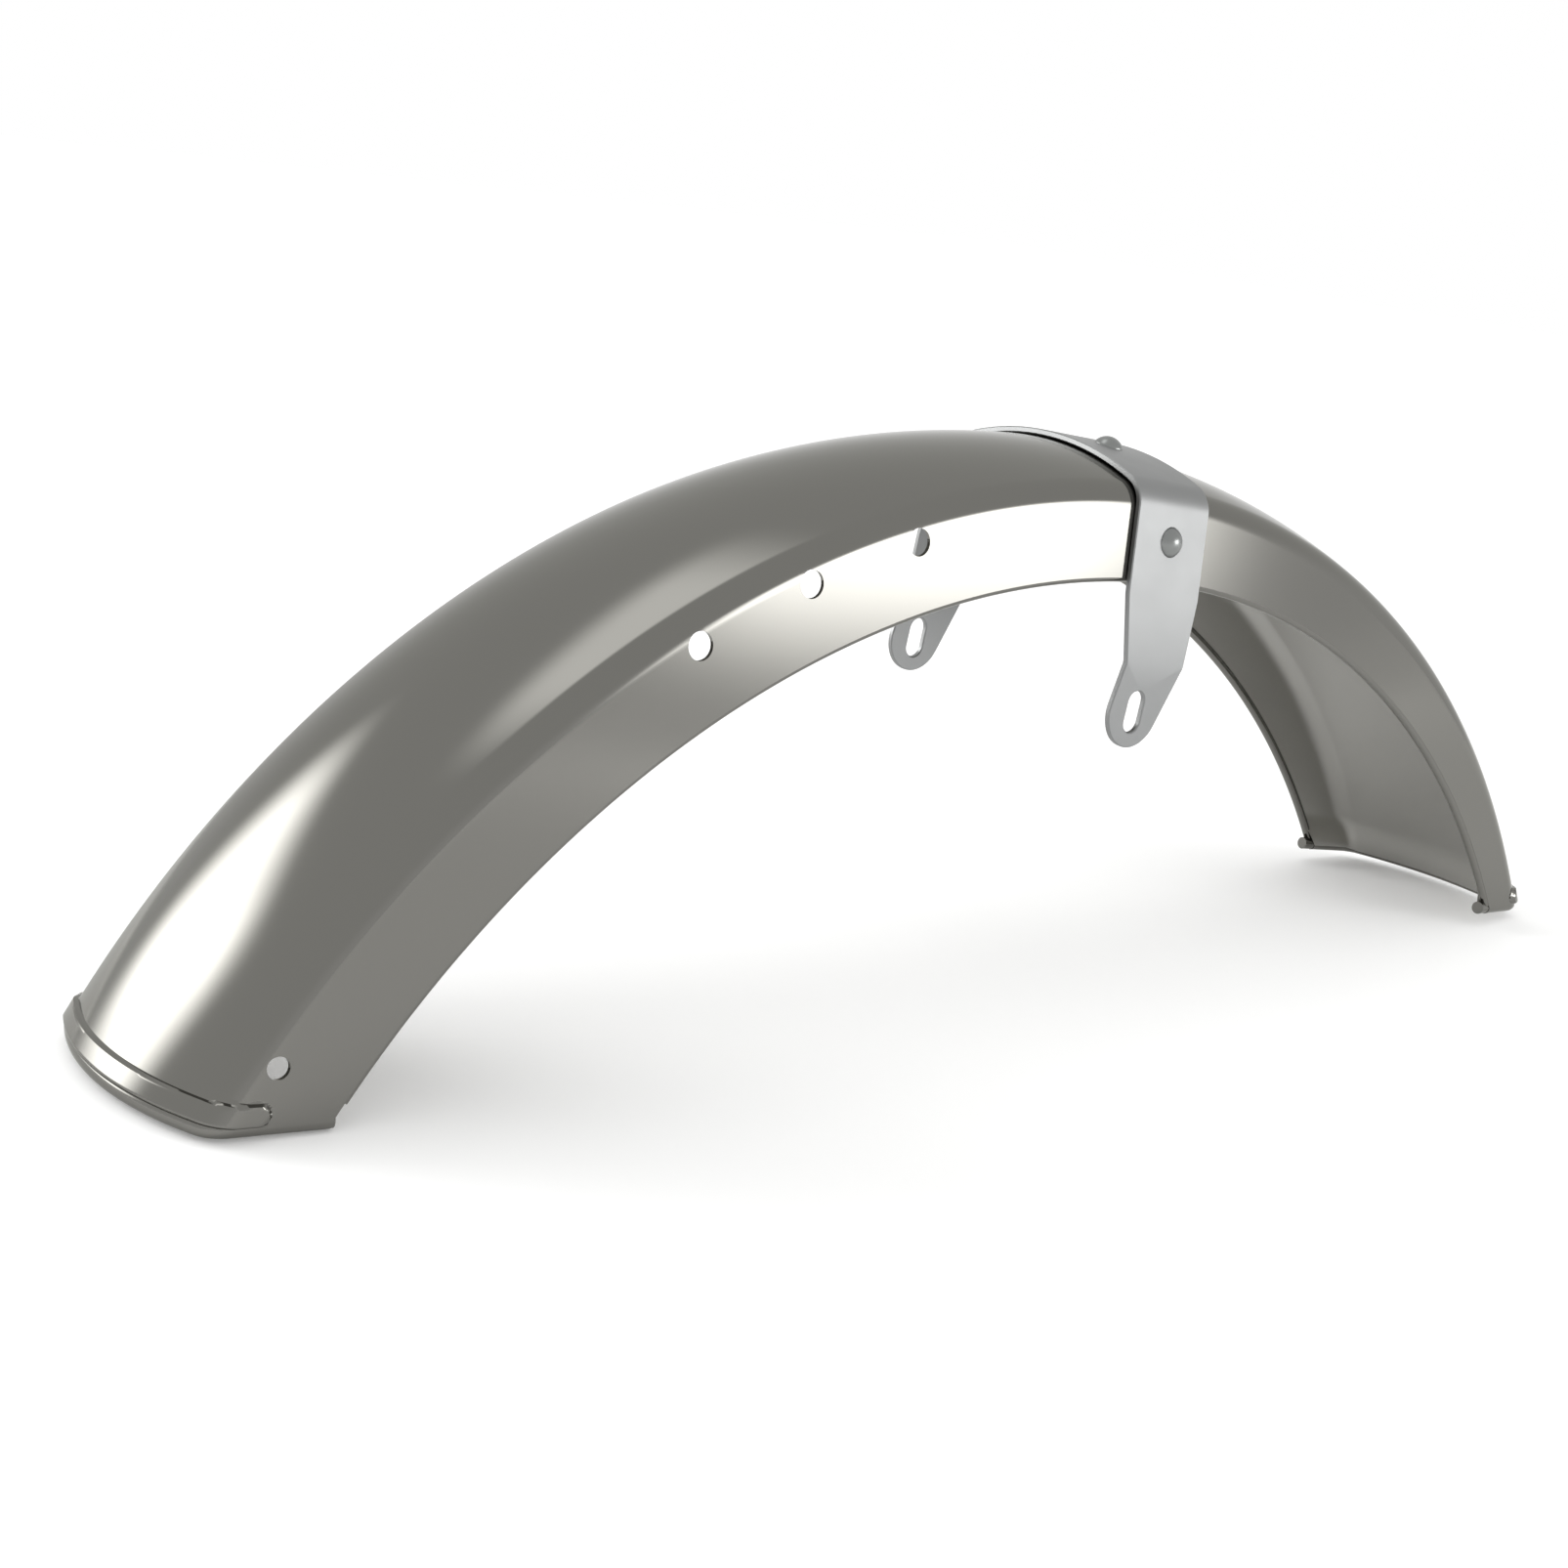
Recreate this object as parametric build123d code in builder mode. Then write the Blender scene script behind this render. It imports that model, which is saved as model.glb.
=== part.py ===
from build123d import *
import math
import os

os.makedirs("parts", exist_ok=True)

# A front mudguard standing on its two ends. Sizes are in mm and degrees.
# The wheel axis runs along Y under the arch, +X points to the free end, +Z is up.
# Angles along the blade are counted from upright, positive toward +X.

# Blade sheet
crown_radius = 350.0      # wheel axis to the top of the crown
end_angle = 61.3          # the crown ends this far to each side of upright
blade_depth = 39.0        # crown top down to the lower edge
lower_half = 47.55        # half the width between the lower edges
edge_lead = 4.8           # the lower edge curves round a middle this far toward the free end
edge_drop = 6.5           # and this far below the wheel axis, so the walls get shallower there
wall_flare = 8.4          # the walls lean out by this
crown_bow = 105.0         # radius of the crown from side to side
shoulder_radius = 10.0    # outside radius between crown and wall
sheet = 1.2               # thickness of the sheet

# Ends and edges
stay_end_tilt = 1.0       # the cut at the stay end falls toward +X by this
free_end_tilt = 5.0       # the same for the free end
trim_angle = 2.0          # bent past each end by this, then cut off
rim_radius = 2.6          # the end edge is rolled inward to this radius
rim_tip = 0.5             # the rolled end goes down the walls to this far past the lower edge
roll_step = 0.15          # a roll lies this far under the outside of the sheet
bead_height = 2.2         # how far the bead stands out of the sheet
bead_width = 6.4          # its width where it leaves the sheet
bead_set = 6.5            # from the end cut up to the middle of the bead
bead_run = 3.8            # the bead goes on this far below the shoulder
lip_radius = 1.7          # the lower edges are rolled inward to this radius
lip_gap = 6.0             # bare edge left between the lip and the end rim

# Bolt holes through both walls
bolt_clearance = 0.4      # added to a bolt's size to give its hole
fork_bolt = 8.0
fork_hole_drop = 17.5     # below the crown
fork_hole_pitch = 42.0    # along the wall from hole to hole
fork_hole_angle = -20.4   # middle hole
stay_bolt = 6.0
stay_hole_drop = 16.4
stay_hole_set = 5.25      # from the crown's end, in degrees

# Bracket strip
strip_angle = 6.0
strip_width = 35.0
strip = 2.0               # thickness of the strip
strip_bend = 9.0          # inside radius of the fold at the shoulder
strip_ease = 0.35         # sheared edges are eased by this
taper_drop = 3.0          # the strip starts to narrow this far below the lip
crease_drop = 63.3        # below the crown the strip turns upright
crease_width = 28.4       # width left there
slot_drop = 79.8          # middle of the slot below the crown
slot_shift = -4.8         # the slot sits off the middle, toward the stay end
slot_width = 7.6
slot_length = 14.0
tab_radius = 12.0         # round end of the tab, about the middle of the slot

# Rivets
rivet_shank = 4.8
punch_draft = 0.02        # a punched rivet hole opens by this
rivet_head = 10.0
rivet_dome = 3.0
rivet_tail = 8.0
rivet_tail_height = 1.2
wall_rivet_drop = 24.5    # below the crown
crown_rivet_shift = 6.3   # toward -Y round the crown, in degrees

# The curves along the ends and lower edges are drawn through points
lip_steps = 12
crown_steps = 4
shoulder_steps = 4
wall_step = 8.0


def sin(angle):
    return math.sin(math.radians(angle))


def cos(angle):
    return math.cos(math.radians(angle))


def tan(angle):
    return math.tan(math.radians(angle))


lower_radius = crown_radius - blade_depth
edge_radius = math.hypot(lower_radius + edge_drop, edge_lead)
skirt_radius = edge_radius - math.hypot(edge_lead, edge_drop)
rim_reach = blade_depth + rim_tip
rim_end = crown_radius - rim_reach
bow_middle = crown_radius - crown_bow
wall_turn = 90 - wall_flare


def crown_turn(bend):
    """How far the crown turns before a shoulder of this radius takes over."""
    reach = lower_half * cos(wall_flare) + (crown_bow - blade_depth) * sin(wall_flare) - bend
    return math.degrees(math.asin(reach / (crown_bow - bend))) - wall_flare


def shoulder_middle(bend):
    """Middle of a shoulder of this radius, across and out from the wheel axis."""
    turn = crown_turn(bend)
    return (crown_bow - bend) * sin(turn), bow_middle + (crown_bow - bend) * cos(turn)


def skin(turn, inset):
    """Point of the section, across and out, where its outside faces this far from upright."""
    if turn <= crown_turn(shoulder_radius):
        return (crown_bow - inset) * sin(turn), bow_middle + (crown_bow - inset) * cos(turn)
    across, out = shoulder_middle(shoulder_radius)
    return across + (shoulder_radius - inset) * sin(turn), out + (shoulder_radius - inset) * cos(turn)


def wall(radius, inset):
    """Half width of the straight wall at a distance from the wheel axis."""
    return lower_half + (lower_radius - radius) * tan(wall_flare) - inset / cos(wall_flare)


def end_start(side, tilt, lift):
    """Point over the crown's end at a lift above the cut, in X and Z."""
    return (side * crown_radius * sin(end_angle) + lift * sin(tilt),
            crown_radius * cos(end_angle) + lift * cos(tilt))


def inward(side, tilt, lift, radius, lead=0.0, drop=0.0):
    """Where a line along the cut meets a circle round the wheel axis, or a middle off it, in X and Z."""
    start = end_start(side, tilt, lift)
    from_middle = (start[0] - lead, start[1] + drop)
    way = (-side * cos(tilt), side * sin(tilt))
    along = from_middle[0] * way[0] + from_middle[1] * way[1]
    step = -along - math.sqrt(along ** 2 - from_middle[0] ** 2 - from_middle[1] ** 2 + radius ** 2)
    return start[0] + step * way[0], start[1] + step * way[1]


# The floor is the lowest point of the stay end's rim, so the wheel axis lies below it.
floor_height = inward(-1, stay_end_tilt, rim_radius, rim_end)[1] - rim_radius * cos(stay_end_tilt)
hub = (0.0, 0.0, -floor_height)
wheel_axis = Axis(hub, (0, 1, 0))


def plane_at(angle):
    """Section plane: local X across the blade, local Y out from the wheel axis."""
    return Plane(origin=hub, x_dir=(0, 1, 0), z_dir=(cos(angle), 0, -sin(angle)))


def arch(bend, inset):
    """Draws the crown and shoulders of a section and gives the two points where they end."""
    turn = crown_turn(bend)
    across, out = shoulder_middle(bend)
    CenterArc((0, bow_middle), crown_bow - inset, 90 - turn, 2 * turn)
    right = CenterArc((across, out), bend - inset, wall_flare, wall_turn - turn)
    left = CenterArc((-across, out), bend - inset, 90 + turn, wall_turn - turn)
    return right @ 0, left @ 1


def end_path(side, tilt, lift, inset, run):
    """Points across the blade along one end, under the outside by the inset, down both walls by the run."""
    first = crown_turn(shoulder_radius)
    half = [skin(first * step / crown_steps, inset) for step in range(crown_steps + 1)]
    for step in range(1, shoulder_steps + 1):
        half.append(skin(first + (wall_turn - first) * step / shoulder_steps, inset))
    top = half[-1][1]
    wall_steps = math.ceil(run / wall_step)
    for step in range(1, wall_steps + 1):
        level = top - run * step / wall_steps
        half.append((wall(level, inset), level))
    points = []
    for across, out in [(-across, out) for across, out in reversed(half[1:])] + half:
        x, z = inward(side, tilt, lift, out)
        points.append((x, across, z - floor_height))
    return points


strip_plane = plane_at(strip_angle)


def rivet_plane(across, out, turn):
    """Seat of a rivet on the outside of the strip, facing away from the metal."""
    facing = strip_plane.x_dir * sin(turn) + strip_plane.y_dir * cos(turn)
    foot = strip_plane.from_local_coords((across, out, 0))
    return Plane(origin=foot + facing * strip, x_dir=strip_plane.z_dir, z_dir=facing)


wall_out = crown_radius - wall_rivet_drop
crown_across, crown_out = skin(crown_rivet_shift, 0.0)
rivet_planes = (
    rivet_plane(wall(wall_out, 0.0), wall_out, wall_turn),
    rivet_plane(-wall(wall_out, 0.0), wall_out, -wall_turn),
    rivet_plane(-crown_across, crown_out, -crown_rivet_shift),
)
grip = strip + sheet
punch_length = 4 * grip

# The bead is part of a round tube lying mostly under the sheet.
bead_radius = (bead_height ** 2 + (bead_width / 2) ** 2) / (2 * bead_height)
bead_inset = bead_radius - bead_height
rim_inset = rim_radius + roll_step
lip_inset = lip_radius + roll_step
lip_path_radius = edge_radius + lip_radius
sweep_angle = 2 * (end_angle + trim_angle)
trim_block = crown_radius / 2
drill_length = 3 * lower_half
ends = ((-1, stay_end_tilt), (1, free_end_tilt))

with BuildPart() as blade:
    for inset, tube, mode in ((0.0, bead_radius, Mode.ADD), (sheet, bead_radius - sheet, Mode.SUBTRACT)):
        with BuildSketch(plane_at(-sweep_angle / 2)):
            with BuildLine():
                right, left = arch(shoulder_radius, inset)
                skirt = wall(skirt_radius, inset)
                Polyline(right, (skirt, skirt_radius), (-skirt, skirt_radius), left)
            make_face()
        revolve(axis=wheel_axis, revolution_arc=sweep_angle, mode=mode)
        for side, tilt in ends:
            with BuildLine() as path:
                Spline(*end_path(side, tilt, bead_set, bead_inset, bead_run))
            with BuildSketch(Plane(origin=path.line @ 0, x_dir=(0, 1, 0), z_dir=path.line % 0)):
                Circle(tube)
            sweep(path=path.line, mode=mode)
            with Locations(path.line @ 0, path.line @ 1):
                Sphere(tube, mode=mode)
    # The lower edges are trimmed along their own curve, and each end by a plane.
    with Locations((edge_lead, 0, -edge_drop - floor_height)):
        Cylinder(lip_path_radius, drill_length, rotation=(90, 0, 0), mode=Mode.SUBTRACT)
    for side, tilt in ends:
        x, z = end_start(side, tilt, rim_radius)
        cut = Plane(origin=(x, 0, z - floor_height), x_dir=(cos(tilt), 0, -sin(tilt)),
                    z_dir=(sin(tilt), 0, cos(tilt)))
        with BuildSketch(cut):
            Rectangle(trim_block, trim_block)
        extrude(amount=-trim_block, mode=Mode.SUBTRACT)
    # Rolled rims close the ends, and rolled lips run along the lower edges and stop short of them.
    rolls = []
    lip_ends = []
    for side, tilt in ends:
        run = skin(wall_turn, rim_inset)[1] - rim_end
        rolls.append((end_path(side, tilt, rim_radius, rim_inset, run), rim_radius))
        x, z = inward(side, tilt, rim_radius, lip_path_radius, edge_lead, edge_drop)
        turn = math.atan2(x - edge_lead, z + edge_drop) - side * lip_gap / lip_path_radius
        lip_ends.append(math.degrees(turn))
    for hand in (-1, 1):
        points = []
        for step in range(lip_steps + 1):
            turn = lip_ends[0] + (lip_ends[1] - lip_ends[0]) * step / lip_steps
            x = edge_lead + lip_path_radius * sin(turn)
            z = lip_path_radius * cos(turn) - edge_drop
            points.append((x, hand * wall(math.hypot(x, z), lip_inset), z - floor_height))
        rolls.append((points, lip_radius))
    for points, radius in rolls:
        with BuildLine() as path:
            Spline(*points)
        with BuildSketch(Plane(origin=path.line @ 0, x_dir=(0, 1, 0), z_dir=path.line % 0)):
            Circle(radius)
        sweep(path=path.line)
    # Holes run straight across, through both walls.
    fork_out = crown_radius - fork_hole_drop
    fork_step = math.degrees(fork_hole_pitch / fork_out)
    for index in (-1, 0, 1):
        with Locations(plane_at(fork_hole_angle + index * fork_step).from_local_coords((0, fork_out, 0))):
            Cylinder((fork_bolt + bolt_clearance) / 2, drill_length, rotation=(90, 0, 0), mode=Mode.SUBTRACT)
    stay_out = crown_radius - stay_hole_drop
    with Locations(plane_at(stay_hole_set - end_angle).from_local_coords((0, stay_out, 0))):
        Cylinder((stay_bolt + bolt_clearance) / 2, drill_length, rotation=(90, 0, 0), mode=Mode.SUBTRACT)
    # Rivet holes are punched from inside, so they open by a trace toward the outside.
    with Locations(*rivet_planes):
        Cone(rivet_shank / 2, rivet_shank / 2 + punch_draft, punch_length, mode=Mode.SUBTRACT)

# Bracket: the folded profile of the strip, trimmed to the shape it has seen from the side.
side_plane = Plane(origin=hub, x_dir=(cos(strip_angle), 0, -sin(strip_angle)), z_dir=(0, -1, 0))
strip_top = crown_radius + 2 * strip
taper_out = lower_radius - taper_drop
crease_out = crown_radius - crease_drop
tab_out = crease_out - strip / 2
slot_out = crown_radius - slot_drop
arm_end = slot_out - tab_radius - strip

with BuildPart() as bracket:
    with BuildSketch(strip_plane):
        for inset, mode in ((-strip, Mode.ADD), (0.0, Mode.SUBTRACT)):
            with BuildLine():
                right, left = arch(strip_bend, inset)
                across = wall(crease_out, 0.0) - inset
                level = crease_out - inset * tan(wall_flare / 2)
                Polyline(right, (across, level), (across, arm_end),
                         (-across, arm_end), (-across, level), left)
            make_face(mode=mode)
    extrude(amount=strip_width, both=True)
    with BuildSketch(side_plane):
        Polygon((-strip_width / 2, strip_top), (-strip_width / 2, taper_out),
                (-crease_width / 2, tab_out), (crease_width / 2, tab_out),
                (strip_width / 2, taper_out), (strip_width / 2, strip_top), align=None)
        with BuildLine(mode=Mode.PRIVATE) as tab_edges:
            Line((-crease_width / 2, tab_out), (crease_width / 2, tab_out))
            CenterArc((slot_shift, slot_out), tab_radius, 0, 360)
        make_hull(tab_edges.edges())
        with Locations((slot_shift, slot_out)):
            SlotOverall(slot_length, slot_width, rotation=90, mode=Mode.SUBTRACT)
    extrude(amount=drill_length, both=True, mode=Mode.INTERSECT)
    # Sheared edges are eased all round: every edge but the fold lines and the corners through the strip.
    sheared = bracket.edges().filter_by(Axis(hub, strip_plane.z_dir), reverse=True)
    chamfer(sheared.filter_by(lambda edge: abs(edge.length - strip) > strip_ease), strip_ease)
    with Locations(*rivet_planes):
        Cylinder(rivet_shank / 2, punch_length, mode=Mode.SUBTRACT)

# A rivet's tail clears the curve of the crown by its own sag there.
tail_seat = grip + (rivet_tail / 2) ** 2 / 2 * (1 / (crown_bow - sheet) + 1 / (crown_radius - sheet))
tail_end = tail_seat + rivet_tail_height
dome_radius = (rivet_dome ** 2 + (rivet_head / 2) ** 2) / (2 * rivet_dome)
dome_turn = math.degrees(math.asin(rivet_head / 2 / dome_radius))

# Rivets: dome outside, shank filling its hole, flattened tail inside.
with BuildPart() as rivets:
    for seat in rivet_planes:
        with BuildSketch(Plane(origin=seat.origin, x_dir=seat.x_dir, z_dir=-seat.y_dir)):
            with BuildLine():
                dome = CenterArc((0, rivet_dome - dome_radius), dome_radius, 90 - dome_turn, dome_turn)
                Polyline(dome @ 1, (0, -tail_end), (rivet_tail / 2, -tail_end), (rivet_tail / 2, -tail_seat),
                         (rivet_shank / 2, -tail_seat), (rivet_shank / 2, 0), dome @ 0)
            make_face()
        revolve(axis=Axis(seat.origin, seat.z_dir))

blade.part.label = "mudguard_blade"
bracket.part.label = "fork_bracket"
rivets.part.label = "bracket_rivets"
export_step(blade.part, "parts/mudguard_blade.step")
export_step(bracket.part, "parts/fork_bracket.step")
export_step(rivets.part, "parts/bracket_rivets.step")
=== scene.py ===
import math

import bmesh
import bpy
from mathutils import Matrix, Vector


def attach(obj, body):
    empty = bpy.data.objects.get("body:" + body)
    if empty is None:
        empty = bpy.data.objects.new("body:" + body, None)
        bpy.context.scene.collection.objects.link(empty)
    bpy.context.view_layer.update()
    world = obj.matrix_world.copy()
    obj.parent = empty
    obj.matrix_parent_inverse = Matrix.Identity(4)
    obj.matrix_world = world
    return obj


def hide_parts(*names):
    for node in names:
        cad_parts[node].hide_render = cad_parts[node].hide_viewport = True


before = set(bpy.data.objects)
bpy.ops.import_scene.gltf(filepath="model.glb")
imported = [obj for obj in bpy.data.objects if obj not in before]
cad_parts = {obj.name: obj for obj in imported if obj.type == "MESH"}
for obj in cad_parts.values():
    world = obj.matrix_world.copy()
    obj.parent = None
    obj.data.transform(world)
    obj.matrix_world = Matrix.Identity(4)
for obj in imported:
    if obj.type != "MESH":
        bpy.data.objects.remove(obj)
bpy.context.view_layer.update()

MM = 0.001

# Sizes of the blade in millimetres and degrees. They are the solid's own, apart from the lip's finer step.
CROWN_RADIUS = 350.0
END_ANGLE = 61.3
BLADE_DEPTH = 39.0
LOWER_HALF = 47.55
EDGE_LEAD = 4.8
EDGE_DROP = 6.5
WALL_FLARE = 8.4
CROWN_BOW = 105.0
SHOULDER_RADIUS = 10.0
SHEET = 1.2
STAY_END_TILT = 1.0
FREE_END_TILT = 5.0
RIM_RADIUS = 2.6
RIM_TIP = 0.5
ROLL_STEP = 0.15
BEAD_HEIGHT = 2.2
BEAD_WIDTH = 6.4
BEAD_SET = 6.5
BEAD_RUN = 3.8
LIP_RADIUS = 1.7
LIP_STEP = 0.02
LIP_GAP = 6.0
FORK_HOLE = 8.4
FORK_HOLE_DROP = 17.5
FORK_HOLE_PITCH = 42.0
FORK_HOLE_ANGLE = -20.4
STAY_HOLE = 6.4
STAY_HOLE_DROP = 16.4
STAY_HOLE_SET = 5.25

# Sizes of the bracket strip and its rivets.
STRIP_ANGLE = 6.0
STRIP = 2.0
RIVET_SHANK = 4.8
RIVET_HEAD = 10.0
RIVET_DOME = 3.0
RIVET_TAIL = 8.0
RIVET_TAIL_HEIGHT = 1.2
RIVET_TAIL_GAP = 0.1
WALL_RIVET_DROP = 24.5
CROWN_RIVET_SHIFT = 6.3
# The disc that is lifted into a dome starts this far into the strip.
SINK = 0.1

LOWER_RADIUS = CROWN_RADIUS - BLADE_DEPTH
RIM_END = LOWER_RADIUS - RIM_TIP
EDGE_MIDDLE = (EDGE_LEAD, -EDGE_DROP)
LIP_PATH = math.hypot(LOWER_RADIUS + EDGE_DROP, EDGE_LEAD) + LIP_RADIUS
LIP_INSET = LIP_RADIUS + LIP_STEP
BOW_MIDDLE = CROWN_RADIUS - CROWN_BOW
BEAD_RADIUS = (BEAD_HEIGHT ** 2 + (BEAD_WIDTH / 2) ** 2) / (2 * BEAD_HEIGHT)
WALL_TURN = 90 - WALL_FLARE
ENDS = ((-1, STAY_END_TILT), (1, FREE_END_TILT))


def sin(angle):
    return math.sin(math.radians(angle))


def cos(angle):
    return math.cos(math.radians(angle))


def wall(radius, inset=0.0):
    """Half width of the straight wall at a distance from the wheel axis."""
    lean = math.tan(math.radians(WALL_FLARE))
    return LOWER_HALF + (LOWER_RADIUS - radius) * lean - inset / cos(WALL_FLARE)


REACH = LOWER_HALF * cos(WALL_FLARE) + (CROWN_BOW - BLADE_DEPTH) * sin(WALL_FLARE) - SHOULDER_RADIUS
CROWN_TURN = math.degrees(math.asin(REACH / (CROWN_BOW - SHOULDER_RADIUS))) - WALL_FLARE


def skin(turn):
    """Point of the section, across and out, where the outside faces this far from upright."""
    if turn <= CROWN_TURN:
        return CROWN_BOW * sin(turn), BOW_MIDDLE + CROWN_BOW * cos(turn)
    middle = CROWN_BOW - SHOULDER_RADIUS
    return (middle * sin(CROWN_TURN) + SHOULDER_RADIUS * sin(turn),
            BOW_MIDDLE + middle * cos(CROWN_TURN) + SHOULDER_RADIUS * cos(turn))


def cut_height(side, tilt):
    """Distance of an end's cut plane from the wheel axis."""
    return CROWN_RADIUS * cos(END_ANGLE + side * -tilt)


def end_point(side, tilt, lift, radius, middle=(0.0, 0.0)):
    """X and Z where a plane over an end's cut meets a circle round the wheel axis or another middle."""
    height = cut_height(side, tilt) + lift - middle[0] * sin(tilt) - middle[1] * cos(tilt)
    angle = math.radians(tilt) + side * math.acos(height / radius)
    return middle[0] + radius * math.sin(angle), middle[1] + radius * math.cos(angle)


# The bead's centre line stops a little below the shoulder.
BEAD_END = skin(WALL_TURN)[1] - (BEAD_RADIUS - BEAD_HEIGHT) * cos(WALL_TURN) - BEAD_RUN
FLOOR = end_point(-1, STAY_END_TILT, RIM_RADIUS, RIM_END)[1] - RIM_RADIUS * cos(STAY_END_TILT)


def add(tree, kind, settings=None, inputs=None):
    """Adds a node, sets its properties, and fills its inputs with values or links."""
    node = tree.nodes.new(kind)
    for name, value in (settings or {}).items():
        setattr(node, name, value)
    for key, value in (inputs or {}).items():
        sources = value if isinstance(value, list) else [value]
        for source in sources:
            if isinstance(source, bpy.types.NodeSocket):
                tree.links.new(source, node.inputs[key])
            else:
                node.inputs[key].default_value = source
    return node


def new_tree(name, sizes):
    """Geometry tree with one named number input for each size."""
    tree = bpy.data.node_groups.new(name, "GeometryNodeTree")
    tree.interface.new_socket("Geometry", in_out="INPUT", socket_type="NodeSocketGeometry")
    for label, value in sizes.items():
        socket = tree.interface.new_socket(label, in_out="INPUT", socket_type="NodeSocketFloat")
        socket.default_value = value
    tree.interface.new_socket("Geometry", in_out="OUTPUT", socket_type="NodeSocketGeometry")
    return tree, tree.nodes.new("NodeGroupInput").outputs


def finish_tree(tree, geometry, material, part=None, part_material=None):
    """Ends a tree in Realize Instances and Set Material, with a second material for a part of the faces."""
    real = add(tree, "GeometryNodeRealizeInstances", {}, {"Geometry": geometry})
    painted = add(tree, "GeometryNodeSetMaterial", {}, {"Geometry": real.outputs[0], "Material": material})
    if part is not None:
        painted = add(tree, "GeometryNodeSetMaterial", {},
                      {"Geometry": painted.outputs[0], "Selection": part, "Material": part_material})
    add(tree, "NodeGroupOutput", {}, {"Geometry": painted.outputs[0]})


def grow(name, base_mesh, tree):
    """Runs a tree on a base mesh and keeps the result as a plain mesh object."""
    seed = bpy.data.objects.new(name + "_seed", base_mesh)
    bpy.context.scene.collection.objects.link(seed)
    seed.modifiers.new("grow", "NODES").node_group = tree
    evaluated = seed.evaluated_get(bpy.context.evaluated_depsgraph_get())
    mesh = bpy.data.meshes.new_from_object(evaluated)
    mesh.name = name
    bpy.data.objects.remove(seed)
    piece = bpy.data.objects.new(name, mesh)
    bpy.context.scene.collection.objects.link(piece)
    return piece


# Materials


def linear(code):
    """An sRGB hex colour as linear RGBA."""
    parts = [int(code[i:i + 2], 16) / 255 for i in (1, 3, 5)]
    return tuple(p / 12.92 if p <= 0.04045 else ((p + 0.055) / 1.055) ** 2.4 for p in parts) + (1.0,)


def new_material(name):
    """A principled material with its tree, its shader and the Object coordinates."""
    material = bpy.data.materials.new(name)
    material.use_nodes = True
    tree = material.node_tree
    tree.nodes.clear()
    shader = add(tree, "ShaderNodeBsdfPrincipled")
    add(tree, "ShaderNodeOutputMaterial", {}, {"Surface": shader.outputs[0]})
    place = add(tree, "ShaderNodeTexCoord").outputs["Object"]
    return material, tree, shader, place


def per_metre(size_mm):
    """Texture scale that gives a pattern this size on Object coordinates."""
    return 1.0 / (size_mm * MM)


def metal(name, colour, patch_mm, detail, smoothest, roughest):
    """Bare metal whose gloss drifts a little from patch to patch."""
    material, tree, shader, place = new_material(name)
    shader.inputs["Base Color"].default_value = linear(colour)
    shader.inputs["Metallic"].default_value = 1.0
    cloud = add(tree, "ShaderNodeTexNoise", {},
                {"Vector": place, "Scale": per_metre(patch_mm), "Detail": detail})
    rough = add(tree, "ShaderNodeMapRange", {},
                {"Value": cloud.outputs[0], "To Min": smoothest, "To Max": roughest})
    tree.links.new(rough.outputs[0], shader.inputs["Roughness"])
    return material, shader


def polished_stainless():
    """Stainless sheet, rolled and then buffed to a mirror: it shows the room through a faint haze."""
    material, shader = metal("polished_stainless_sheet", "#777672", 60, 3.0, 0.10, 0.14)
    # Seen along the surface, buffed steel stays grey for longer than the plain formula gives.
    shader.inputs["Specular Tint"].default_value = linear("#E2E2E0")
    return material


def mill_stainless_painted_lighter():
    """The same sheet inside, as it came from the mill: a blurred grey with no clear reflection, its base
    painted paler than the outside's steel as painted light that lifts the shade inside the arch.
    """
    return metal("mill_finish_stainless_inside_painted_lighter", "#AFAEAA", 25, 4.0, 0.34, 0.44)[0]


def bright_zinc():
    """Mild steel strip with a bright zinc plate: paler and cooler than the sheet, with a soft gleam."""
    return metal("bright_zinc_plated_strip", "#8B8C8C", 12, 4.0, 0.38, 0.48)[0]


def dull_zinc():
    """Rivet steel, plated and then upset: darker than the strip, with a tight highlight on the dome."""
    return metal("dull_zinc_plated_rivet", "#868887", 3, 3.0, 0.22, 0.36)[0]


# Blade

CROWN_STEPS = 18
SHOULDER_STEPS = 16
# Wall points lie close together down to the bead's tip, and further apart below it.
TIP_STEPS = 14
TIP_DEPTH = 10.0
WALL_STEPS = 6
ROWS = 400
LIP_STEPS = 160
DRILL_SIDES = 64
CORE_SIDES = 24
LIP_SIDES = 16
# Points closer than this are one, and edges that turn by more than this stay sharp.
WELD = 0.01
BLADE_SHARP = 40.0
# Share of the rows at each end that go round the roll, and how far the roll turns.
ROLL_ROWS = 0.03
ROLL_TURN = 180.0
# The bead's foot and the edge of its crest are blended over about these lengths.
BEAD_FOOT = 1.2
BEAD_CREST = 0.8
# It is raised this many times as high, then pressed flat at this height.
BEAD_SWELL = 1.7
BEAD_FLAT = 1.45
# At the free end the bead stops higher up, on the shoulder, and the lip runs closer to the roll.
FREE_BEAD_RISE = 7.5
FREE_LIP_GAP = 2.0
# Inside, the sheet runs into the roll from this far above the end.
ROLL_BLEND = 16.0
# The core of the roll comes out past the lower edge at the free end by less than at the stay end.
CORE_TRIM = 6.0
# Wall points are laid out down to this distance from the wheel axis, then slid to the lower edge.
EDGE = LOWER_RADIUS + LIP_RADIUS


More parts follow.
